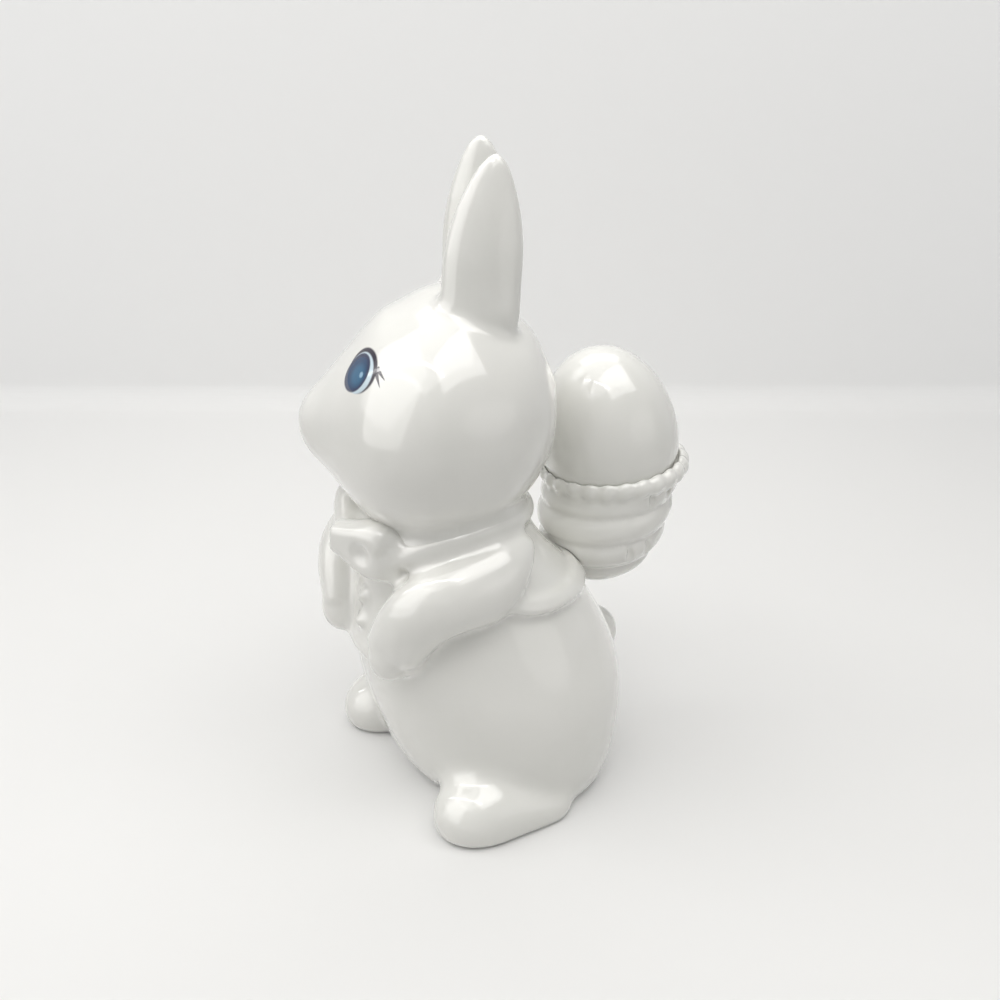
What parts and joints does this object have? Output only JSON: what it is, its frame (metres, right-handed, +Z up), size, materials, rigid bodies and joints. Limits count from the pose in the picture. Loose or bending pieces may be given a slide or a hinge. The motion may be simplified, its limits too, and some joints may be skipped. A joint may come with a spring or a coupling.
{
  "type": "ceramic rabbit figurine",
  "caption": "Glazed ceramic rabbit figurine, standing upright in a short jacket with a bow, carrying a tall egg in a woven basket on its back.",
  "frame": {"origin": "centre of the bounding box at the level of the flat base", "axes": "+Z up through the ears; the figure faces -Y, its left side is +X and the basket is on the +Y side"},
  "size_m": [0.071, 0.0962, 0.1499],
  "materials": {
    "white_glaze": "glossy",
    "ear_glaze": "glossy",
    "basket_glaze": "glossy",
    "egg_glaze": "glossy"
  },
  "bodies": {
    "root": {"body_casting": "white_glaze", "head_casting": "white_glaze", "ear_left": "ear_glaze", "ear_right": "ear_glaze", "foot_left": "white_glaze", "foot_right": "white_glaze", "tail": "white_glaze", "jacket": "white_glaze", "jacket_hem": "white_glaze", "sleeve_left": "white_glaze", "sleeve_right": "white_glaze", "paw_left": "white_glaze", "paw_right": "white_glaze", "collar": "white_glaze", "bow_knot": "white_glaze", "bow_loop_left": "white_glaze", "bow_loop_right": "white_glaze", "button_upper": "white_glaze", "button_lower": "white_glaze", "egg": "egg_glaze", "basket_bowl": "basket_glaze", "basket_rim": "basket_glaze"}
  },
  "joints": []
}
